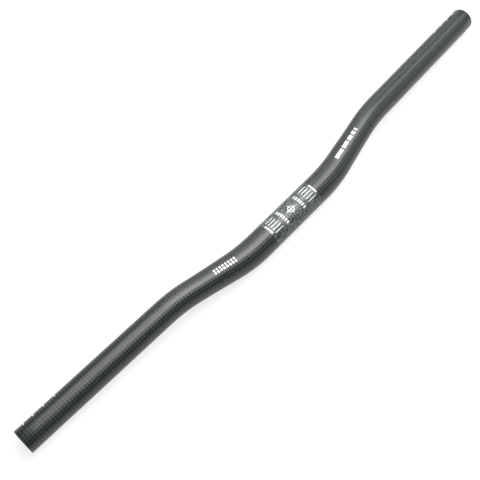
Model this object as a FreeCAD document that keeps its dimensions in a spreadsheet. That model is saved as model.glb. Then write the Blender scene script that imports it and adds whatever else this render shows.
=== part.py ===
import FreeCAD, Part
import os
import Sketcher

# A low-rise bicycle handlebar: one hollow tube, laid up and moulded in one piece.
# The body is drawn as it sits on a bicycle: X along the clamp axis, Y to the rear, Z up, with the
# origin at the middle of the clamp zone. Its Placement then lays it down as it comes to rest on a
# flat surface, on the clamp zone and the two tips.

doc = FreeCAD.newDocument("handlebar")


# Driving dimensions, in millimetres and degrees
DIMS = {
    "bar_width": 580.0,          # from tip to tip, along the clamp axis
    "clamp_diameter": 25.4,
    "clamp_length": 78.0,        # the straight stretch that a stem can grip
    "clamp_wall": 3.0,
    "grip_diameter": 22.2,
    "grip_wall": 2.2,
    "rise_height": 15.0,         # from the clamp axis up to the outer corner of the axis line
    "riser_run": 72.0,           # from the inner to the outer corner, along the clamp axis
    "inner_bend_radius": 160.0,  # of the tube's axis
    "outer_bend_radius": 150.0,
    "back_sweep": 4.0,           # of the grips, seen from above
    "up_sweep": 1.0,             # of the grips, seen from the front
    "end_chamfer": 0.5,          # of the edges at the two tips
}

# What follows from them. The riser stays in the XZ plane, and each bend is tangent to its straights.
RUN = {
    "inner_turn": "=atan2(dims.rise_height; dims.riser_run)",
    "sweep_stretch": "=sqrt(1 + tan(dims.back_sweep)^2 + tan(dims.up_sweep)^2)",
    "outer_turn": "=acos((cos(inner_turn) + tan(dims.up_sweep) * sin(inner_turn)) / sweep_stretch)",
    "outer_roll": "=atan2(tan(dims.back_sweep); sin(inner_turn) - tan(dims.up_sweep) * cos(inner_turn))",
    "inner_tangent": "=dims.inner_bend_radius * tan(inner_turn / 2)",
    "outer_tangent": "=dims.outer_bend_radius * tan(outer_turn / 2)",
    "inner_corner": "=dims.clamp_length / 2 + inner_tangent",
    "outer_corner": "=inner_corner + dims.riser_run",
    "riser_length": "=sqrt(dims.riser_run^2 + dims.rise_height^2) - inner_tangent - outer_tangent",
    "bend_length": "=dims.inner_bend_radius * inner_turn / 1 rad",
    "bend_share": "=bend_length / (bend_length + riser_length)",
    "grip_reach": "=dims.bar_width / 2 - outer_corner",
    "grip_length": "=grip_reach * sweep_stretch - outer_tangent",
    "tip_back": "=grip_reach * tan(dims.back_sweep)",
    "tip_up": "=dims.rise_height + grip_reach * tan(dims.up_sweep)",
    "tip_offset": "=sqrt(tip_back^2 + tip_up^2)",
    "tip_drop": "=(dims.clamp_diameter - dims.grip_diameter) / 2",
    "lying_turn": "=atan2(tip_back; tip_up) - acos(-tip_drop / tip_offset)",
}


def add_sheet(name, rows):
    """A sheet with one alias on each row, which holds a number or a formula as text."""
    sheet = doc.addObject("Spreadsheet::Sheet", name)
    for number, (alias, content) in enumerate(rows.items(), start=1):
        sheet.set("A%d" % number, alias)
        sheet.set("B%d" % number, str(content))
        sheet.setAlias("B%d" % number, alias)
    doc.recompute()


add_sheet("dims", DIMS)
add_sheet("run", RUN)

body = doc.addObject("PartDesign::Body", "handlebar")
body.Label = "handlebar"
planes = {feature.Role: feature for feature in body.Origin.OriginFeatures}

# Every tube section is drawn on the YZ plane and then moved along the axis line, so a section's own
# x, y and z run to the rear, up and along the tube.
ABOUT_REAR = "rotation(vector(1; 0; 0); %s)"
ABOUT_TUBE = "rotation(vector(0; 0; 1); %s)"
RISER_TURN = ABOUT_REAR % "-run.inner_turn"
BEND_TURN = RISER_TURN + " * " + ABOUT_TUBE % "run.outer_roll"
GRIP_TURN = BEND_TURN + " * " + ABOUT_REAR % "run.outer_turn"

CLAMP_TO_GRIP = "(dims.clamp_{0} + (dims.grip_{0} - dims.clamp_{0}) * {1})"


def place_at(rear, up, along, turn):
    """The placement of a section whose centre and direction are given as formulas."""
    return "placement(vector(%s; %s; %s); %s)" % (rear, up, along, turn)


def on_inner_bend(share):
    """A section's placement, this share of the way round the inner bend."""
    turn = "run.inner_turn * %g" % share
    up = "dims.inner_bend_radius * (1 - cos(%s))" % turn
    along = "dims.clamp_length / 2 + dims.inner_bend_radius * sin(%s)" % turn
    return place_at("0", up, along, ABOUT_REAR % ("-" + turn))


def on_riser(share, turn=RISER_TURN):
    """A section's placement, this share of the way up the straight riser."""
    reach = "(run.inner_tangent + run.riser_length * %g)" % share
    up = reach + " * sin(run.inner_turn)"
    along = "run.inner_corner + %s * cos(run.inner_turn)" % reach
    return place_at("0", up, along, turn)


def at_grip_start():
    """The placement of the grip's first section, where the outer bend ends."""
    reach = "run.outer_tangent / run.sweep_stretch"
    rear = reach + " * tan(dims.back_sweep)"
    up = "dims.rise_height + %s * tan(dims.up_sweep)" % reach
    along = "run.outer_corner + " + reach
    return place_at(rear, up, along, GRIP_TURN)


def tube_section(name, placement, taper):
    """A ring: the outside and the bore. taper is a formula, 0 for the clamp's size and 1 for the grip's."""
    sketch = body.newObject("Sketcher::SketchObject", name)
    sketch.AttachmentSupport = [(planes["YZ_Plane"], "")]
    sketch.MapMode = "FlatFace"
    sketch.setExpression("AttachmentOffset", placement)
    outside = CLAMP_TO_GRIP.format("diameter", taper)
    wall = CLAMP_TO_GRIP.format("wall", taper)
    for formula in (outside, "%s - 2 * %s" % (outside, wall)):
        circle = sketch.addGeometry(Part.Circle(), False)
        sketch.addConstraint(Sketcher.Constraint("Coincident", circle, 3, -1, 1))
        diameter = sketch.addConstraint(Sketcher.Constraint("Diameter", circle, 1.0))
        sketch.setExpression("Constraints[%d]" % diameter, formula)
    return sketch


def ease(share):
    """A formula that leaves 0 and reaches 1 with no slope, so that the taper starts and ends level."""
    return "(3 * (%s)^2 - 2 * (%s)^3)" % (share, share)


# The straight clamp zone
clamp = body.newObject("PartDesign::Pad", "clamp_zone")
clamp.Profile = tube_section("clamp_section", place_at("0", "0", "0", ABOUT_REAR % "0"), "0")
clamp.SideType = "Symmetric"
clamp.setExpression("Length", "dims.clamp_length")

# The inner bend and the riser, over which the tube tapers
BEND_STEPS = 8
RISER_STEPS = 8
taper_sections = []
for step in range(BEND_STEPS + 1):
    share = step / BEND_STEPS
    taper = ease("run.bend_share * %g" % share)
    taper_sections.append(tube_section("bend_section_%d" % step, on_inner_bend(share), taper))
for step in range(1, RISER_STEPS + 1):
    share = step / RISER_STEPS
    taper = ease("run.bend_share + (1 - run.bend_share) * %g" % share)
    taper_sections.append(tube_section("riser_section_%d" % step, on_riser(share), taper))
riser = body.newObject("PartDesign::AdditiveLoft", "riser")
riser.Profile = taper_sections[0]
riser.Sections = taper_sections[1:]

# The outer bend, turned about a line in its own section's plane
bend_section = tube_section("outer_bend_section", on_riser(1, BEND_TURN), "1")
pivot = bend_section.addGeometry(
    Part.LineSegment(FreeCAD.Vector(-1, -1, 0), FreeCAD.Vector(1, -1, 0)), True)
bend_section.addConstraint(Sketcher.Constraint("Symmetric", pivot, 1, pivot, 2, -2))
pivot_length = bend_section.addConstraint(Sketcher.Constraint("DistanceX", pivot, 1, pivot, 2, 2.0))
bend_section.setExpression("Constraints[%d]" % pivot_length, "dims.grip_diameter")
pivot_depth = bend_section.addConstraint(Sketcher.Constraint("DistanceY", pivot, 1, -1, 1, 1.0))
bend_section.setExpression("Constraints[%d]" % pivot_depth, "dims.outer_bend_radius")
outer_bend = body.newObject("PartDesign::Revolution", "outer_bend")
outer_bend.Profile = bend_section
outer_bend.ReferenceAxis = (bend_section, ["Axis0"])
outer_bend.setExpression("Angle", "run.outer_turn")

# The straight grip
grip = body.newObject("PartDesign::Pad", "grip")
grip.Profile = tube_section("grip_section", at_grip_start(), "1")
grip.setExpression("Length", "run.grip_length")
doc.recompute()

# The other side
both_sides = body.newObject("PartDesign::Mirrored", "both_sides")
both_sides.Originals = [riser, outer_bend, grip]
both_sides.MirrorPlane = (planes["YZ_Plane"], [""])
body.Tip = both_sides
doc.recompute()

# The edges at the tips, which are the only ones on a flat face
tip_edges = []
for face in both_sides.Shape.Faces:
    if isinstance(face.Surface, Part.Plane):
        tip_edges += face.Edges
tip_names = []
for number, edge in enumerate(both_sides.Shape.Edges, start=1):
    if any(edge.isSame(tip_edge) for tip_edge in tip_edges):
        tip_names.append("Edge%d" % number)
chamfer = body.newObject("PartDesign::Chamfer", "chamfered_tips")
chamfer.Base = (both_sides, tip_names)
chamfer.setExpression("Size", "dims.end_chamfer")
body.Tip = chamfer

body.setExpression("Placement", place_at("0", "0", "0", ABOUT_REAR % "run.lying_turn"))
doc.recompute()

for item in doc.Objects:
    if "Invalid" in item.State or "Error" in item.State:
        raise RuntimeError("%s did not build: %s" % (item.Name, item.State))
if body.Shape.isNull() or not body.Shape.isValid() or len(body.Shape.Solids) != 1:
    raise RuntimeError("%s is not one valid solid" % body.Label)

os.makedirs("parts", exist_ok=True)
body.Shape.exportStep("parts/%s.step" % body.Label)
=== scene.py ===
import math

import bmesh
import bpy
from mathutils import Matrix, Vector


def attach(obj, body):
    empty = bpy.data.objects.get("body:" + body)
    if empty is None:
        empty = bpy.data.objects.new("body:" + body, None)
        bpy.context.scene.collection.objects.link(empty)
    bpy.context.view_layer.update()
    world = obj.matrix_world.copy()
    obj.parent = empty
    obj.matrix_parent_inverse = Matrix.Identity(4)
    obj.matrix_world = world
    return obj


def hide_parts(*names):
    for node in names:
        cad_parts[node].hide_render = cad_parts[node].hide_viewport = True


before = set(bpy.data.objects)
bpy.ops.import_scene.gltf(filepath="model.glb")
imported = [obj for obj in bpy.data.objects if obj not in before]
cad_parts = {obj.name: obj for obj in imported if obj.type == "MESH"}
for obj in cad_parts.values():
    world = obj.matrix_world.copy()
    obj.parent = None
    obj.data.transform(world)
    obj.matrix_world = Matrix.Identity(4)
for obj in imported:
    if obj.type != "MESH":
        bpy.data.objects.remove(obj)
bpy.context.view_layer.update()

MM = 0.001

# The bar's sizes, the same as in the part's source
BAR_WIDTH = 580.0 * MM
CLAMP_RADIUS = 12.7 * MM
CLAMP_BORE_RADIUS = 9.7 * MM
CLAMP_HALF = 39.0 * MM
GRIP_RADIUS = 11.1 * MM
GRIP_BORE_RADIUS = 8.9 * MM
RISE_HEIGHT = 15.0 * MM
RISER_RUN = 72.0 * MM
INNER_BEND_RADIUS = 160.0 * MM
OUTER_BEND_RADIUS = 150.0 * MM
BACK_SWEEP = math.radians(4.0)
UP_SWEEP = math.radians(1.0)
END_CHAMFER = 0.5 * MM

# How the bar lies: turned about the clamp axis until the clamp zone and both tips touch the floor
BAR_AXIS = Vector((1, 0, 0))
INNER_TURN = math.atan2(RISE_HEIGHT, RISER_RUN)
INNER_TANGENT = INNER_BEND_RADIUS * math.tan(INNER_TURN / 2)
GRIP_REACH = BAR_WIDTH / 2 - CLAMP_HALF - INNER_TANGENT - RISER_RUN
TIP_BACK = GRIP_REACH * math.tan(BACK_SWEEP)
TIP_UP = RISE_HEIGHT + GRIP_REACH * math.tan(UP_SWEEP)
TIP_DROP = CLAMP_RADIUS - GRIP_RADIUS
LYING_TURN = math.atan2(TIP_BACK, TIP_UP) - math.acos(-TIP_DROP / math.hypot(TIP_BACK, TIP_UP))
FLOOR_HEIGHT = -CLAMP_RADIUS


def lying(x, y, z):
    """A vector of the bar as it sits on a bicycle, turned to how it lies."""
    return Matrix.Rotation(LYING_TURN, 3, "X") @ Vector((x, y, z))


# The axis line of the half on +X: clamp zone, inner bend, riser, outer bend and grip
RISER_WAY = lying(math.cos(INNER_TURN), 0, math.sin(INNER_TURN))
GRIP_WAY = lying(1, math.tan(BACK_SWEEP), math.tan(UP_SWEEP)).normalized()
OUTER_TURN = RISER_WAY.angle(GRIP_WAY)
OUTER_TANGENT = OUTER_BEND_RADIUS * math.tan(OUTER_TURN / 2)
INNER_CORNER = BAR_AXIS * (CLAMP_HALF + INNER_TANGENT)
OUTER_CORNER = INNER_CORNER + lying(RISER_RUN, 0, RISE_HEIGHT)
INNER_BEND_START = BAR_AXIS * CLAMP_HALF
INNER_BEND_AXIS = lying(0, -1, 0)
INNER_BEND_CENTRE = INNER_BEND_START + lying(0, 0, INNER_BEND_RADIUS)
RISER_START = INNER_CORNER + RISER_WAY * INNER_TANGENT
RISER_END = OUTER_CORNER - RISER_WAY * OUTER_TANGENT
OUTER_BEND_AXIS = RISER_WAY.cross(GRIP_WAY).normalized()
OUTER_BEND_CENTRE = RISER_END + OUTER_BEND_AXIS.cross(RISER_WAY) * OUTER_BEND_RADIUS
GRIP_START = OUTER_CORNER + GRIP_WAY * OUTER_TANGENT
TIP = OUTER_CORNER + GRIP_WAY * (GRIP_REACH / GRIP_WAY.x)

INNER_BEND_LENGTH = INNER_BEND_RADIUS * INNER_TURN
RISER_LENGTH = (RISER_END - RISER_START).length
OUTER_BEND_LENGTH = OUTER_BEND_RADIUS * OUTER_TURN
GRIP_LENGTH = (TIP - GRIP_START).length
RISER_FROM = CLAMP_HALF + INNER_BEND_LENGTH
TAPER_END = RISER_FROM + RISER_LENGTH
GRIP_FROM = TAPER_END + OUTER_BEND_LENGTH

# How finely the tube is drawn
RING_POINTS = 128
CLAMP_STEPS = 3
INNER_BEND_STEPS = 16
RISER_STEPS = 16
OUTER_BEND_STEPS = 14
GRIP_STEPS = 10
TIP_EDGE_STEPS = 2
SMOOTH_ANGLE = math.radians(30)

# Points this close together are merged
MERGE_DISTANCE = 0.001 * MM
# A point this close to the end of the grip is on it
TIP_TOLERANCE = 0.01 * MM
# An edge on the end of the grip runs round it when its two points are about as far from the middle
ROUND_TOLERANCE = 0.1 * MM


def tapered(clamp_size, grip_size, along):
    """A size that eases from the clamp's to the grip's over the inner bend and the riser."""
    share = min(max((along - CLAMP_HALF) / (TAPER_END - CLAMP_HALF), 0), 1)
    return clamp_size + (grip_size - clamp_size) * (3 * share ** 2 - 2 * share ** 3)


def select_nothing():
    """Go back to object mode with nothing selected, so that an operator acts only on what comes next."""
    if bpy.context.mode != "OBJECT":
        bpy.ops.object.mode_set(mode="OBJECT")
    bpy.ops.object.select_all(action="DESELECT")


def pull(move):
    """Extrude the selected ring by a straight move."""
    bpy.ops.mesh.extrude_region_move(TRANSFORM_OT_translate={"value": move})


def turn_ring(steps, turn, centre, axis):
    """Spin the selected ring round a bend. The operator turns clockwise, so its axis is reversed."""
    bpy.ops.mesh.spin(steps=steps, angle=turn, center=centre, axis=-axis)


def size_ring(radius, wanted, centre):
    """Scale the selected ring about its centre, and give its new radius."""
    bpy.ops.transform.resize(value=[wanted / radius] * 3, center_override=centre)
    return wanted


def pull_half_tube(name, clamp_radius, grip_radius):
    """One skin of the +X half: a ring at the clamp's middle, pulled along the axis line to the tip."""
    select_nothing()
    upright = (0, math.pi / 2, 0)
    bpy.ops.mesh.primitive_circle_add(vertices=RING_POINTS, radius=clamp_radius, rotation=upright)
    skin = bpy.context.active_object
    skin.name = name
    bpy.ops.object.transform_apply(location=True, rotation=True, scale=True)
    bpy.ops.object.mode_set(mode="EDIT")
    bpy.ops.mesh.select_all(action="SELECT")
    radius = clamp_radius

    for _ in range(CLAMP_STEPS):
        pull(BAR_AXIS * (CLAMP_HALF / CLAMP_STEPS))
    for step in range(1, INNER_BEND_STEPS + 1):
        turn_ring(1, INNER_TURN / INNER_BEND_STEPS, INNER_BEND_CENTRE, INNER_BEND_AXIS)
        turned = Matrix.Rotation(INNER_TURN * step / INNER_BEND_STEPS, 3, INNER_BEND_AXIS)
        centre = INNER_BEND_CENTRE + turned @ (INNER_BEND_START - INNER_BEND_CENTRE)
        along = CLAMP_HALF + INNER_BEND_LENGTH * step / INNER_BEND_STEPS
        radius = size_ring(radius, tapered(clamp_radius, grip_radius, along), centre)
    for step in range(1, RISER_STEPS + 1):
        pull(RISER_WAY * (RISER_LENGTH / RISER_STEPS))
        up_riser = RISER_LENGTH * step / RISER_STEPS
        wanted = tapered(clamp_radius, grip_radius, RISER_FROM + up_riser)
        radius = size_ring(radius, wanted, RISER_START + RISER_WAY * up_riser)
    turn_ring(OUTER_BEND_STEPS, OUTER_TURN, OUTER_BEND_CENTRE, OUTER_BEND_AXIS)
    for _ in range(GRIP_STEPS):
        pull(GRIP_WAY * (GRIP_LENGTH / GRIP_STEPS))
    bpy.ops.object.mode_set(mode="OBJECT")
    return skin


def select_edges(piece, wanted):
    """In edit mode, select the edges that wanted says yes to."""
    bpy.ops.mesh.select_mode(type="EDGE")
    bpy.ops.mesh.select_all(action="DESELECT")
    mesh = bmesh.from_edit_mesh(piece.data)
    for edge in mesh.edges:
        edge.select_set(wanted(edge))
    mesh.select_flush_mode()
    bmesh.update_edit_mesh(piece.data)


def at_tip(vert):
    """Whether a point lies on the end of the grip."""
    return (vert.co - TIP).dot(GRIP_WAY) > -TIP_TOLERANCE


def round_the_tip(edge):
    """Whether an edge runs round the tip, outside or in the bore, and not across the wall."""
    first, second = edge.verts
    if not (at_tip(first) and at_tip(second)):
        return False
    return abs((first.co - TIP).length - (second.co - TIP).length) < ROUND_TOLERANCE


def make_bar():
    """The whole bar: both skins pulled to +X, closed at the tip, the tip's edges rounded, then mirrored."""
    bar = pull_half_tube("carbon_bar", CLAMP_RADIUS, GRIP_RADIUS)
    bore = pull_half_tube("bore_skin", CLAMP_BORE_RADIUS, GRIP_BORE_RADIUS)
    select_nothing()
    bore.select_set(True)
    bar.select_set(True)
    bpy.context.view_layer.objects.active = bar
    bpy.ops.object.join()
    bpy.ops.object.mode_set(mode="EDIT")
    select_edges(bar, round_the_tip)
    bpy.ops.mesh.bridge_edge_loops()
    select_edges(bar, round_the_tip)
    bpy.ops.mesh.bevel(offset=END_CHAMFER, segments=TIP_EDGE_STEPS, profile=0.5, affect="EDGES")
    bpy.ops.object.mode_set(mode="OBJECT")

    mirror = bar.modifiers.new("other_side", "MIRROR")
    mirror.use_axis = (True, False, False)
    mirror.merge_threshold = MERGE_DISTANCE
    bpy.ops.object.modifier_apply(modifier=mirror.name)
    bpy.ops.object.mode_set(mode="EDIT")
    bpy.ops.mesh.select_all(action="SELECT")
    bpy.ops.mesh.remove_doubles(threshold=MERGE_DISTANCE)
    bpy.ops.mesh.normals_make_consistent(inside=False)
    bpy.ops.object.mode_set(mode="OBJECT")
    bpy.ops.object.shade_smooth_by_angle(angle=SMOOTH_ANGLE)
    return bar


def axis_under(point):
    """Where a point of the tube sits on the axis line: the distance from the clamp's middle, positive
    on +X, the centre of the tube there and its way towards +X."""
    side = 1 if point.x >= 0 else -1
    at = Vector((abs(point.x), point.y, point.z))
    past_riser_start = (at - RISER_START).dot(RISER_WAY)
    past_riser_end = (at - RISER_END).dot(RISER_WAY)
    past_grip_start = (at - GRIP_START).dot(GRIP_WAY)
    if past_grip_start >= 0 and past_riser_end >= 0:
        along = GRIP_FROM + past_grip_start
    elif past_riser_end >= 0:
        spoke = at - OUTER_BEND_CENTRE
        spoke -= OUTER_BEND_AXIS * spoke.dot(OUTER_BEND_AXIS)
        along = TAPER_END + OUTER_BEND_RADIUS * (RISER_END - OUTER_BEND_CENTRE).angle(spoke)
    elif past_riser_start >= 0:
        along = RISER_FROM + past_riser_start
    elif at.x >= CLAMP_HALF:
        spoke = at - INNER_BEND_CENTRE
        spoke -= INNER_BEND_AXIS * spoke.dot(INNER_BEND_AXIS)
        along = CLAMP_HALF + INNER_BEND_RADIUS * (INNER_BEND_START - INNER_BEND_CENTRE).angle(spoke)
    else:
        along = at.x
    centre, way = axis_at(side * along)
    return side * along, centre, way


def axis_at(along):
    """The centre of the tube at a distance from the clamp's middle, and its way towards +X."""
    reach = abs(along)
    if reach >= GRIP_FROM:
        centre = GRIP_START + GRIP_WAY * (reach - GRIP_FROM)
        way = GRIP_WAY.copy()
    elif reach >= TAPER_END:
        turned = Matrix.Rotation((reach - TAPER_END) / OUTER_BEND_RADIUS, 3, OUTER_BEND_AXIS)
        centre = OUTER_BEND_CENTRE + turned @ (RISER_END - OUTER_BEND_CENTRE)
        way = turned @ RISER_WAY
    elif reach >= RISER_FROM:
        centre = RISER_START + RISER_WAY * (reach - RISER_FROM)
        way = RISER_WAY.copy()
    elif reach >= CLAMP_HALF:
        turned = Matrix.Rotation((reach - CLAMP_HALF) / INNER_BEND_RADIUS, 3, INNER_BEND_AXIS)
        centre = INNER_BEND_CENTRE + turned @ (INNER_BEND_START - INNER_BEND_CENTRE)
        way = turned @ BAR_AXIS
    else:
        centre = BAR_AXIS * reach
        way = BAR_AXIS.copy()
    if along < 0:
        centre.x = -centre.x
        way = Vector((way.x, -way.y, -way.z))
    return centre, way


def faces_axis(place, normal):
    """Whether a face at this place looks towards the tube's axis."""
    centre = axis_under(place)[1]
    return normal.dot(place - centre) < 0


def square_to(way):
    """The two directions square to the tube that a turn round it is counted from: up, and level to +Y."""
    up = Vector((0, 0, 1))
    up = (up - way * up.dot(way)).normalized()
    return up, up.cross(way)


# The names of the finishes
CARBON_NAME = "satin_carbon_weave"
BORE_NAME = "bare_bore"
CUT_NAME = "cut_laminate"
PRINT_NAME = "white_print"
FLOOR_NAME = "white_floor"

# The cloth: how long one repeat of the weave is along the tube, and how many go round it
WEAVE_LENGTH = 2.84 * MM
WEAVES_ROUND = 28
LAYER_THICKNESS = 0.2 * MM
MAP_NAME = "along_and_round"


def map_along_and_round(bar):
    """The bar's UV map. On the skins, U counts weave repeats along the tube and V counts them round it.
    On the cut end at each tip, V counts the layers of cloth through the wall."""
    layer = bar.data.uv_layers.new(name=MAP_NAME)
    places = []
    for vert in bar.data.vertices:
        along, centre, way = axis_under(vert.co)
        up, level = square_to(way)
        out = vert.co - centre
        places.append((along, math.atan2(out.dot(level), out.dot(up)), out.length))
    for face in bar.data.polygons:
        first_turn = places[face.vertices[0]][1]
        cut = bar.material_slots[face.material_index].name == CUT_NAME
        for corner in face.loop_indices:
            along, turn, out = places[bar.data.loops[corner].vertex_index]
            turn = first_turn + (turn - first_turn + math.pi) % (2 * math.pi) - math.pi
            across = out / LAYER_THICKNESS if cut else turn / (2 * math.pi) * WEAVES_ROUND
            layer.data[corner].uv = (along / WEAVE_LENGTH, across)


class Nodes:
    """The nodes of one material, added and joined in few words."""

    def __init__(self, name):
        self.material = bpy.data.materials.new(name)
        self.material.use_nodes = True
        self.tree = self.material.node_tree
        self.shader = self.tree.nodes["Principled BSDF"]

    def add(self, kind, settings=None, **inputs):
        node = self.tree.nodes.new("ShaderNode" + kind)
        for key, value in (settings or {}).items():
            setattr(node, key, value)
        for key, value in inputs.items():
            self.set(node, key, value)
        return node

    def set(self, node, key, value):
        """Join a socket to an input, or set it to a plain value. a0, a1, a2 are inputs by number."""
        if key[0] == "a" and key[1:].isdigit():
            entry = node.inputs[int(key[1:])]
        else:
            entry = node.inputs[key.replace("_", " ")]
        if isinstance(value, bpy.types.NodeSocket):
            self.tree.links.new(value, entry)
        else:
            entry.default_value = value

    def finish(self, key, value):
        """Set or join an input of the shader itself."""
        self.set(self.shader, key, value)

    def place(self):
        """The place on the piece, in metres."""
        return self.add("TexCoord").outputs["Object"]

    def map(self):
        """The place on the bar's own map."""
        return self.add("UVMap", {"uv_map": MAP_NAME}).outputs[0]

    def noise(self, place, per_metre, detail=2.0, **inputs):
        """Soft spots, about so many to a metre."""
        return self.add("TexNoise", Vector=place, Scale=per_metre, Detail=detail, **inputs).outputs[0]

    def math(self, operation, first, second=0.0):
        return self.add("Math", {"operation": operation}, a0=first, a1=second).outputs[0]

    def ramp(self, value, step, ends=(0.0, 1.0)):
        """A smooth change from one end to the other, over a step of the value."""
        node = self.add("MapRange", {"interpolation_type": "SMOOTHSTEP"}, Value=value,
                        From_Min=step[0], From_Max=step[1], To_Min=ends[0], To_Max=ends[1])
        return node.outputs[0]

    def blend(self, share, first, second):
        """One number or another."""
        return self.add("Mix", {"data_type": "FLOAT"}, a0=share, a2=first, a3=second).outputs[0]

    def tint(self, share, first, second):
        """One colour or another."""
        return self.add("Mix", {"data_type": "RGBA"}, a0=share, a6=first, a7=second).outputs[2]

    def bump(self, height, strength, depth):
        """Relief that is only in the light."""
        node = self.add("Bump", Strength=strength, Distance=depth, Height=height)
        self.finish("Normal", node.outputs[0])


def grey(red, green, blue):
    """A grey with a slight hue."""
    return (red, green, blue, 1.0)


# Where most of a noise's values lie
NOISE_SPREAD = (0.3, 0.7)

# The tows run both ways on the bias, and each family has its own gloss and lean; the two families' tones
# are painted sheen and shade, one cloth made lighter or darker for how each way catches the light
BIAS = math.radians(45)
BIAS_SCALE = math.sqrt(2)
FIRST_TOW_PAINTED_SHEEN = grey(0.038, 0.05, 0.049)
SECOND_TOW_PAINTED_SHADE = grey(0.011, 0.016, 0.016)
TOW_GAP = grey(0.005, 0.007, 0.007)
GAP_EDGE = (0.2, 0.75)
CROWN_ACROSS = 0.5
CROWN_LENGTHWAYS = 0.35
FIBRE_STRETCH = 1.5
FIBRE_FINENESS = 22.0
FIBRE_TONE = grey(0.046, 0.057, 0.056)
FIBRE_STEP = (0.35, 0.8)
FIBRE_SHARE = (0.0, 0.2)
FIBRE_SPREAD = (0.3, 0.8)
FIBRE_ROUGHNESS = (-0.02, 0.03)
FIRST_TOW_ROUGHNESS = 0.36
SECOND_TOW_ROUGHNESS = 0.32
COAT_GLOSS = 0.60
TOW_LEAN = 0.26
CROWN_RELIEF = 0.1
WEAVE_DEPTH = 0.2 * MM

# The gritty coat between the two end bars of the clamp marks
GRIT_HALF = 29.3 * MM
GRIT_EDGE = 0.5 * MM
GRIT_SPECKS = 760.0
GRIT_SPECK_ROUGHNESS = 0.6
GRIT_SPECK_STEP = (0.42, 0.62)
GRIT_DARK = grey(0.01, 0.014, 0.015)
GRIT_LIGHT = grey(0.17, 0.2, 0.202)
GRIT_MOTTLES = 420.0
GRIT_MOTTLE_STEP = (0.35, 0.7)
GRIT_MOTTLE_SHARE = (0.0, 0.35)
GRIT_MOTTLE_TONE = grey(0.05, 0.062, 0.064)
GRIT_ROUGHNESS = (0.3, 0.4)
GRIT_RELIEF = 0.75


def tow_fibres(nodes, tows, stretch):
    """Fine streaks along one family of tows."""
    streaks = nodes.add("Mapping", Vector=tows, Scale=stretch).outputs[0]
    fine = nodes.add("TexNoise", {"noise_dimensions": "2D"}, Scale=1.0, Detail=2.0, Vector=streaks)
    return fine.outputs[0]


def carbon_weave():
    """Fine plain-weave cloth on the bias under a satin coat, and a gritty coat over the clamp marks."""
    nodes = Nodes(CARBON_NAME)
    uv = nodes.map()

    # Turning the map gives the two ways in which the tows run
    tows = nodes.add("Mapping", Vector=uv, Rotation=(0, 0, BIAS), Scale=(BIAS_SCALE,) * 3).outputs[0]
    checks = nodes.add("TexChecker", Vector=tows, Scale=1.0, Color1=(0, 0, 0, 1), Color2=(1, 1, 1, 1))
    over = checks.outputs[1]
    in_check = nodes.add("VectorMath", {"operation": "FRACTION"}, a0=tows).outputs[0]
    first_way, second_way, _ = nodes.add("SeparateXYZ", Vector=in_check).outputs
    first_crown = nodes.math("SINE", nodes.math("MULTIPLY", first_way, math.pi))
    second_crown = nodes.math("SINE", nodes.math("MULTIPLY", second_way, math.pi))
    across = nodes.math("POWER", nodes.blend(over, second_crown, first_crown), CROWN_ACROSS)
    lengthways = nodes.math("POWER", nodes.blend(over, first_crown, second_crown), CROWN_LENGTHWAYS)
    crown = nodes.math("MULTIPLY", across, lengthways)
    fibre = nodes.blend(over, tow_fibres(nodes, tows, (FIBRE_STRETCH, FIBRE_FINENESS, 1.0)),
                        tow_fibres(nodes, tows, (FIBRE_FINENESS, FIBRE_STRETCH, 1.0)))

    # Grit in the clamp zone
    place = nodes.place()
    speck = nodes.noise(place, GRIT_SPECKS, Roughness=GRIT_SPECK_ROUGHNESS)
    mottle = nodes.noise(place, GRIT_MOTTLES)
    along = nodes.math("ABSOLUTE", nodes.add("SeparateXYZ", Vector=uv).outputs[0])
    grit_end = ((GRIT_HALF + GRIT_EDGE) / WEAVE_LENGTH, (GRIT_HALF - GRIT_EDGE) / WEAVE_LENGTH)
    gritty = nodes.ramp(along, grit_end)

    # Painted sheen and shade: the two families of tows get a light and a dark tone of one cloth, for how
    # each catches the light
    tow_and_painted_sheen = nodes.tint(over, FIRST_TOW_PAINTED_SHEEN, SECOND_TOW_PAINTED_SHADE)
    tow_and_painted_sheen = nodes.tint(nodes.ramp(crown, GAP_EDGE), TOW_GAP, tow_and_painted_sheen)
    tow_and_painted_sheen = nodes.tint(nodes.ramp(fibre, FIBRE_STEP, FIBRE_SHARE), tow_and_painted_sheen, FIBRE_TONE)
    grit = nodes.tint(nodes.ramp(speck, GRIT_SPECK_STEP), GRIT_DARK, GRIT_LIGHT)
    grit = nodes.tint(nodes.ramp(mottle, GRIT_MOTTLE_STEP, GRIT_MOTTLE_SHARE), grit, GRIT_MOTTLE_TONE)
    nodes.finish("Base Color", nodes.tint(gritty, tow_and_painted_sheen, grit))

    satin = nodes.blend(over, FIRST_TOW_ROUGHNESS, SECOND_TOW_ROUGHNESS)
    satin = nodes.math("ADD", satin, nodes.ramp(fibre, FIBRE_SPREAD, FIBRE_ROUGHNESS))
    grit_satin = nodes.ramp(speck, NOISE_SPREAD, GRIT_ROUGHNESS)
    nodes.finish("Roughness", nodes.blend(gritty, satin, grit_satin))
    nodes.finish("Specular IOR Level", COAT_GLOSS)

    # One family of tows leans towards +V and the other towards -V, so they shine at different turns
    lean = nodes.math("SUBTRACT", second_way, first_way)
    lean = nodes.math("MULTIPLY", lean, nodes.blend(over, -TOW_LEAN, TOW_LEAN))
    relief = nodes.math("ADD", lean, nodes.math("MULTIPLY", crown, CROWN_RELIEF))
    relief = nodes.blend(gritty, relief, nodes.math("MULTIPLY", speck, GRIT_RELIEF))
    nodes.bump(relief, 1.0, WEAVE_DEPTH)
    return nodes.material


# The inside of the tube
BORE_PATCHES = 160.0
BORE_PATCH_DETAIL = 4.0
BORE_DARK = grey(0.008, 0.008, 0.008)
BORE_LIGHT = grey(0.03, 0.031, 0.03)
BORE_ROUGHNESS = (0.5, 0.75)
BORE_BUMP = 0.4
BORE_DEPTH = 0.1 * MM


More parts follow.
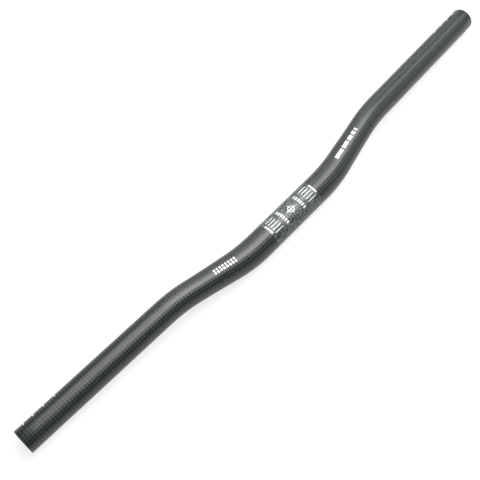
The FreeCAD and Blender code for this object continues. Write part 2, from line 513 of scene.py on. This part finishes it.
def bore_surface():
    """The inside of the tube: bare resin and cloth, dull and a little uneven."""
    nodes = Nodes(BORE_NAME)
    patch = nodes.noise(nodes.place(), BORE_PATCHES, BORE_PATCH_DETAIL)
    nodes.finish("Base Color", nodes.tint(patch, BORE_DARK, BORE_LIGHT))
    nodes.finish("Roughness", nodes.ramp(patch, NOISE_SPREAD, BORE_ROUGHNESS))
    nodes.bump(patch, BORE_BUMP, BORE_DEPTH)
    return nodes.material


# The cut ends
CUT_LINE = grey(0.006, 0.006, 0.006)
CUT_LAYER = grey(0.022, 0.023, 0.023)
CUT_LINE_EDGE = (0.05, 0.35)
CUT_DUST = grey(0.045, 0.046, 0.046)
CUT_DUST_SPOTS = 1500.0
CUT_DUST_STEP = (0.5, 0.8)
CUT_DUST_SHARE = (0.0, 0.4)
CUT_ROUGHNESS = (0.6, 0.8)
# How squarely a face looks out along the grip for it to belong to the cut end
CUT_FACING = 0.3


def cut_laminate():
    """The cut end at each tip, where the layers of cloth show as fine rings."""
    nodes = Nodes(CUT_NAME)
    layers = nodes.add("SeparateXYZ", Vector=nodes.map()).outputs[1]
    line = nodes.math("PINGPONG", layers, 0.5)
    dust = nodes.noise(nodes.place(), CUT_DUST_SPOTS)
    rings = nodes.tint(nodes.ramp(line, CUT_LINE_EDGE), CUT_LINE, CUT_LAYER)
    dusty = nodes.ramp(dust, CUT_DUST_STEP, CUT_DUST_SHARE)
    nodes.finish("Base Color", nodes.tint(dusty, rings, CUT_DUST))
    nodes.finish("Roughness", nodes.ramp(dust, NOISE_SPREAD, CUT_ROUGHNESS))
    return nodes.material


# The printed marks
INK_SPOTS = 1100.0
INK_STEP = (0.3, 0.62)
THIN_INK = grey(0.72, 0.74, 0.73)
FULL_INK = grey(0.9, 0.91, 0.9)
INK_ROUGHNESS = (0.4, 0.52)


def white_print():
    """White screen print under the coat, a little uneven where the ink is thin."""
    nodes = Nodes(PRINT_NAME)
    ink = nodes.noise(nodes.place(), INK_SPOTS)
    nodes.finish("Base Color", nodes.tint(nodes.ramp(ink, INK_STEP), THIN_INK, FULL_INK))
    nodes.finish("Roughness", nodes.ramp(ink, NOISE_SPREAD, INK_ROUGHNESS))
    return nodes.material


def on_cut_end(face):
    """Whether a face of the bar is part of the cut end at a tip, the flat of it or its rounded edges."""
    way = Vector((math.copysign(GRIP_WAY.x, face.center.x), GRIP_WAY.y, GRIP_WAY.z))
    return face.normal.dot(way) > CUT_FACING


def finish_bar(bar):
    """Give each face of the bar its finish, then its map."""
    for material in (carbon_weave(), bore_surface(), cut_laminate()):
        bar.data.materials.append(material)
    names = [slot.name for slot in bar.material_slots]
    for face in bar.data.polygons:
        if on_cut_end(face):
            face.material_index = names.index(CUT_NAME)
        elif faces_axis(face.center, face.normal):
            face.material_index = names.index(BORE_NAME)
    map_along_and_round(bar)


# Printed marks: each is drawn flat against the tube, wrapped onto it and given the ink's thickness
INK_THICKNESS = 0.03 * MM
INK_SQUARE = 0.6 * MM
CROSS_RING_POINTS = 48
DOT_POINTS = 24


def put_against_tube(mark, along, turn_deg):
    """Move a flat mark to where it touches the tube: x along the tube, y round it to +Y, z out of it."""
    centre, way = axis_at(along)
    up, level = square_to(way)
    out = up * math.cos(math.radians(turn_deg)) + level * math.sin(math.radians(turn_deg))
    axes = Matrix((way, out.cross(way), out)).transposed()
    touch = centre + out * tapered(CLAMP_RADIUS, GRIP_RADIUS, abs(along))
    mark.matrix_world = Matrix.Translation(touch) @ axes.to_4x4() @ mark.matrix_world
    bpy.ops.object.transform_apply(location=True, rotation=True, scale=True)
    return mark


def flat_block(length, width):
    """A plain rectangle, in squares small enough to follow the tube."""
    select_nothing()
    bpy.ops.mesh.primitive_grid_add(x_subdivisions=max(1, math.ceil(length / INK_SQUARE)),
                                    y_subdivisions=max(1, math.ceil(width / INK_SQUARE)), size=1)
    block = bpy.context.active_object
    block.scale = (length, width, 1)
    bpy.ops.object.transform_apply(location=True, rotation=True, scale=True)
    return block


def round_ring(outer, inner):
    """A flat ring: a circle with its edge pulled in."""
    select_nothing()
    bpy.ops.mesh.primitive_circle_add(vertices=CROSS_RING_POINTS, radius=outer)
    ring = bpy.context.active_object
    bpy.ops.object.mode_set(mode="EDIT")
    bpy.ops.mesh.select_all(action="SELECT")
    pull(Vector((0, 0, 0)))
    size_ring(outer, inner, (0, 0, 0))
    bpy.ops.object.mode_set(mode="OBJECT")
    return ring


def round_dot(radius):
    """A flat disc."""
    select_nothing()
    bpy.ops.mesh.primitive_circle_add(vertices=DOT_POINTS, radius=radius, fill_type="TRIFAN")
    return bpy.context.active_object


def block_at(along, turn_deg, length, width):
    """A rectangle of print at its place on the tube."""
    return put_against_tube(flat_block(length, width), along, turn_deg)


def arc_width(radius, degrees):
    """How wide a flat mark is drawn for it to cover this turn of the tube once it is wrapped."""
    return 2 * radius * math.tan(math.radians(degrees / 2))


def wrap_print(name, marks, bar, material):
    """Join the marks, wrap them onto the tube and give them the ink's thickness."""
    select_nothing()
    for mark in marks:
        mark.select_set(True)
    bpy.context.view_layer.objects.active = marks[0]
    bpy.ops.object.join()
    print_piece = bpy.context.active_object
    print_piece.name = name
    wrap = print_piece.modifiers.new("wrap", "SHRINKWRAP")
    wrap.target = bar
    wrap.wrap_method = "NEAREST_SURFACEPOINT"
    bpy.ops.object.modifier_apply(modifier=wrap.name)
    face_out(print_piece)
    ink = print_piece.modifiers.new("ink", "SOLIDIFY")
    ink.thickness = INK_THICKNESS
    ink.offset = 1.0
    bpy.ops.object.modifier_apply(modifier=ink.name)
    bpy.ops.object.shade_smooth_by_angle(angle=SMOOTH_ANGLE)
    print_piece.data.materials.append(material)
    return print_piece


def face_out(print_piece):
    """Make each mark's faces look one way, then turn those that look into the tube."""
    bpy.ops.object.mode_set(mode="EDIT")
    bpy.ops.mesh.select_all(action="SELECT")
    bpy.ops.mesh.normals_make_consistent(inside=False)
    bpy.ops.mesh.select_mode(type="FACE")
    bpy.ops.mesh.select_all(action="DESELECT")
    mesh = bmesh.from_edit_mesh(print_piece.data)
    for face in mesh.faces:
        face.select_set(faces_axis(face.calc_center_median(), face.normal))
    bmesh.update_edit_mesh(print_piece.data)
    bpy.ops.mesh.flip_normals()
    bpy.ops.object.mode_set(mode="OBJECT")


# Where the clamp marks are: the distance from the clamp's middle, and the turn round the tube in degrees
CROSS_ALONG = 0.25 * MM
CROSS_TURN = -3.2
RING_OUTER = 3.2 * MM
RING_INNER = 2.6 * MM
DOT_RADIUS = 0.85 * MM
ARM_WIDTH = 0.6 * MM
LONG_ARM_REACH = 5.4 * MM
ROUND_ARM_REACH = 4.7 * MM
LINE_TURNS = (25.2, 11.0, -2.6, -16.6, -31.0)
LINE_MIDDLE = 21.4 * MM
LINE_LENGTH = 9.5 * MM
LINE_WIDTH = 0.68 * MM
END_BAR_MIDDLE = 28.5 * MM
END_BAR_WIDTH = 1.7 * MM
END_BAR_TURN = -3.2
END_BAR_SWEEP = 43.0
DASH_MIDDLE = 11.0 * MM
DASH_TURNS = (26.0, 14.0, 2.0, -10.0, -22.0, -34.0)
DASH_LENGTH = 2.8 * MM
DASH_WIDTH = 1.6 * MM
# The two sides of the print are a little out of line with each other
SIDE_SHIFT = {-1: 0.45 * MM, 1: 0.1 * MM}
SIDE_TURN = {-1: 2.2, 1: -0.8}


def crosshair():
    """A ring with a dot in it, and four arms that cross the ring."""
    marks = [put_against_tube(round_ring(RING_OUTER, RING_INNER), CROSS_ALONG, CROSS_TURN),
             put_against_tube(round_dot(DOT_RADIUS), CROSS_ALONG, CROSS_TURN)]
    for side in (-1, 1):
        for inner, outer in ((DOT_RADIUS, RING_INNER), (RING_OUTER, LONG_ARM_REACH)):
            middle = CROSS_ALONG + side * (inner + outer) / 2
            marks.append(block_at(middle, CROSS_TURN, outer - inner, ARM_WIDTH))
        for inner, outer in ((DOT_RADIUS, RING_INNER), (RING_OUTER, ROUND_ARM_REACH)):
            turn = CROSS_TURN + side * math.degrees((inner + outer) / 2 / CLAMP_RADIUS)
            marks.append(block_at(CROSS_ALONG, turn, ARM_WIDTH, outer - inner))
    return marks


def clamp_marks(bar, ink):
    """The middle of the bar: a crosshair, then on each side a row of dashes, lines and an end bar."""
    marks = crosshair()
    end_bar_length = arc_width(CLAMP_RADIUS, END_BAR_SWEEP)
    for side in (-1, 1):
        shift = SIDE_SHIFT[side]
        extra_turn = SIDE_TURN[side]
        for turn in DASH_TURNS:
            marks.append(block_at(side * DASH_MIDDLE + shift, turn + extra_turn, DASH_LENGTH, DASH_WIDTH))
        for turn in LINE_TURNS:
            marks.append(block_at(side * LINE_MIDDLE + shift, turn + extra_turn, LINE_LENGTH, LINE_WIDTH))
        marks.append(block_at(side * END_BAR_MIDDLE + shift, END_BAR_TURN + extra_turn,
                              END_BAR_WIDTH, end_bar_length))
    return wrap_print("clamp_marks", marks, bar, ink)


# Trim lines near the tips
TRIM_PLACES = (282.6 * MM, 273.0 * MM, 262.4 * MM, 251.4 * MM)
TRIM_TURN = 76.0
TRIM_SWEEP = 70.0
TRIM_WIDTH = 0.9 * MM


def trim_lines(name, side, bar, ink):
    """Four short lines across the far side of a grip, to cut the bar to length by."""
    marks = [block_at(side * place, TRIM_TURN, TRIM_WIDTH, arc_width(GRIP_RADIUS, TRIM_SWEEP))
             for place in TRIM_PLACES]
    return wrap_print(name, marks, bar, ink)


# Plain stripes on one riser and a tally of short dashes on the other
STRIPE_LENGTHS = (11.0 * MM, 8.0 * MM, 5.5 * MM, 3.5 * MM, 2.0 * MM)
STRIPE_GAP = 1.6 * MM
STRIPE_WIDTH = 3.6 * MM
STRIPE_FROM = 68.5 * MM
STRIPE_TURN = 5.0
TALLY_FROM = -91.0 * MM
TALLY_PITCH = 3.0 * MM
TALLY_COUNT = 8
TALLY_LENGTH = 1.7 * MM
TALLY_WIDTH = 2.0 * MM
TALLY_TURNS = (4.0, -10.0)


def riser_stripes(bar, ink):
    """A row of stripes on one riser, each shorter than the last, and two rows of dashes on the other."""
    marks = []
    start = STRIPE_FROM
    for length in STRIPE_LENGTHS:
        marks.append(block_at(start + length / 2, STRIPE_TURN, length, STRIPE_WIDTH))
        start += length + STRIPE_GAP
    for number in range(TALLY_COUNT):
        for turn in TALLY_TURNS:
            marks.append(block_at(TALLY_FROM + number * TALLY_PITCH, turn, TALLY_LENGTH, TALLY_WIDTH))
    return wrap_print("riser_stripes", marks, bar, ink)


bar = make_bar()
finish_bar(bar)
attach(bar, "root")
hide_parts("handlebar")

ink = white_print()
for print_piece in (clamp_marks(bar, ink), trim_lines("left_trim_lines", 1, bar, ink),
                    trim_lines("right_trim_lines", -1, bar, ink), riser_stripes(bar, ink)):
    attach(print_piece, "root")


# The stage
FLOOR_SIZE = 4.0
FLOOR_TONE = grey(0.27, 0.27, 0.27)
FLOOR_ROUGHNESS = 0.9
FLOOR_GLOW = 0.78
WHITE = grey(1.0, 1.0, 1.0)
STUDIO_TONE = grey(0.05, 0.05, 0.05)


def white_floor():
    """A floor that looks white to the camera and in reflections, keeps the bar's shadow and throws little
    light back."""
    nodes = Nodes(FLOOR_NAME)
    path = nodes.add("LightPath")
    seen = nodes.math("MAXIMUM", path.outputs["Is Camera Ray"], path.outputs["Is Glossy Ray"])
    seen = nodes.math("MAXIMUM", seen, path.outputs["Is Transmission Ray"])
    nodes.finish("Base Color", FLOOR_TONE)
    nodes.finish("Roughness", FLOOR_ROUGHNESS)
    nodes.finish("Specular IOR Level", 0.0)
    glow = nodes.add("Emission", Color=WHITE, Strength=nodes.math("MULTIPLY", seen, FLOOR_GLOW))
    both = nodes.add("AddShader", a0=nodes.shader.outputs[0], a1=glow.outputs[0])
    nodes.tree.links.new(both.outputs[0], nodes.tree.nodes["Material Output"].inputs[0])
    return nodes.material


def make_floor():
    select_nothing()
    bpy.ops.mesh.primitive_plane_add(size=FLOOR_SIZE, location=(0, 0, FLOOR_HEIGHT))
    floor = bpy.context.active_object
    floor.name = "floor"
    bpy.ops.object.transform_apply(location=True, rotation=True, scale=True)
    floor.data.materials.append(white_floor())


# The lamps: places, aims and sizes in metres, and power in watts
LAMP_COLOUR = (1.0, 0.99, 0.955)
PANELS = {
    "overhead_panel": {"place": (0.12, 0.20, 1.17), "aim": (0.12, 0, 0),
                       "size": (1.06, 1.5), "power": 18.4},
    "key_panel": {"place": (0.36, 0.02, 1.10), "aim": (0.36, 0, 0),
                  "size": (0.75, 0.8), "power": 6.8},
    "right_panel": {"place": (1.15, 0.0, 1.20), "aim": (0.25, 0, 0),
                    "size": (0.7, 1.9), "power": 9.5},
    "far_panel": {"place": (0.75, 1.02, 0.63), "aim": (0.20, 0, 0),
                  "size": (1.3, 0.45), "power": 4.0},
    "near_panel": {"place": (1.20, -1.00, 0.70), "aim": (0.25, 0, 0),
                   "size": (0.8, 0.8), "power": 2.4},
}


def make_panel(name, place, aim, size, power):
    """A soft light panel that faces one point of the bar."""
    light = bpy.data.lights.new(name, "AREA")
    light.shape = "RECTANGLE"
    light.size, light.size_y = size
    light.energy = power
    light.color = LAMP_COLOUR
    lamp = bpy.data.objects.new(name, light)
    lamp.location = place
    lamp.rotation_euler = (Vector(aim) - Vector(place)).to_track_quat("-Z", "Y").to_euler()
    bpy.context.scene.collection.objects.link(lamp)


CAMERA_PLACE = (-319.454 * MM, -230.935 * MM, 673.380 * MM)
CAMERA_PAN = math.radians(47.8296)
CAMERA_PITCH = math.radians(61.3647)
CAMERA_LENS = 66.62
CAMERA_SENSOR = 36.0
CAMERA_CLIP_START = 10.0 * MM


def make_camera():
    data = bpy.data.cameras.new("camera")
    data.sensor_width = CAMERA_SENSOR
    data.lens = CAMERA_LENS
    data.clip_start = CAMERA_CLIP_START
    camera = bpy.data.objects.new("camera", data)
    camera.location = CAMERA_PLACE
    camera.rotation_euler = (math.pi / 2 - CAMERA_PITCH, 0, -CAMERA_PAN)
    bpy.context.scene.collection.objects.link(camera)
    bpy.context.scene.camera = camera


make_floor()
make_camera()
for panel_name, panel_values in PANELS.items():
    make_panel(panel_name, **panel_values)

world = bpy.data.worlds.new("studio")
world.use_nodes = True
world.node_tree.nodes["Background"].inputs["Color"].default_value = STUDIO_TONE
bpy.context.scene.world = world
bpy.context.scene.view_settings.view_transform = "Standard"
